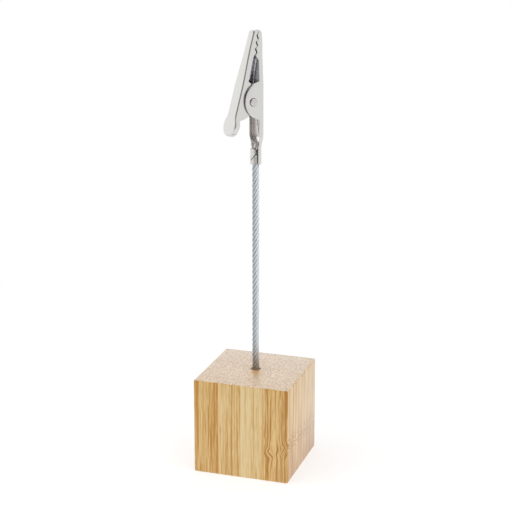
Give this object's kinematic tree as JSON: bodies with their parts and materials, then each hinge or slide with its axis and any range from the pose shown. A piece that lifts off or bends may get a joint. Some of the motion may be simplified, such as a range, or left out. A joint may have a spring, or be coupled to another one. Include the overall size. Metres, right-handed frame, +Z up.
{
  "type": "memo clip holder",
  "caption": "Desk memo clip: a laminated bamboo block holds an upright wire rope stem, with a sprung alligator clip on top whose toothed jaws grip a card or note.",
  "frame": {"origin": "middle of the block's underside", "axes": "+Z up along the wire rope stem, +X across the block's glue lines, -Y out of the face that shows all the staves at the picture's front"},
  "size_m": [0.03, 0.03, 0.1337],
  "materials": {
    "bamboo_dark": "sanded and clear coated, the darkest stave",
    "bamboo_streaked": "sanded and clear coated, streaked",
    "bamboo_pale": "sanded and clear coated, the palest stave",
    "bamboo_node": "sanded and clear coated, with a node of the cane across it",
    "nickel_plate": "pressed steel sheet, satin nickel plate",
    "rope_steel": "bright drawn wire, laid as strands",
    "spring_steel": "drawn spring wire",
    "cured_adhesive": "cured clear adhesive, amber against the wood"
  },
  "bodies": {
    "base": {"bamboo_stave_1": "bamboo_dark", "bamboo_stave_2": "bamboo_streaked", "bamboo_stave_3": "bamboo_pale", "bamboo_stave_4": "bamboo_node", "stem_glue": "cured_adhesive", "core_strand": "rope_steel", "rope_strand_1": "rope_steel", "rope_strand_2": "rope_steel", "rope_strand_3": "rope_steel", "rope_strand_4": "rope_steel", "rope_strand_5": "rope_steel", "rope_strand_6": "rope_steel", "fixed_jaw": "nickel_plate", "jaw_rivet": "nickel_plate", "torsion_spring": "spring_steel"},
    "lever": {"lever_jaw": "nickel_plate"}
  },
  "joints": [
    {"name": "lever_hinge", "type": "hinge", "parent": "base", "child": "lever", "pos_m": [-0.00174, -0.00207, 0.1134], "axis": [0.766, -0.6428, 0], "range_deg": [0, 40], "stiffness_Nm_per_rad": 0.035, "springref_deg": -74.48, "deforming": ["torsion_spring"]}
  ]
}
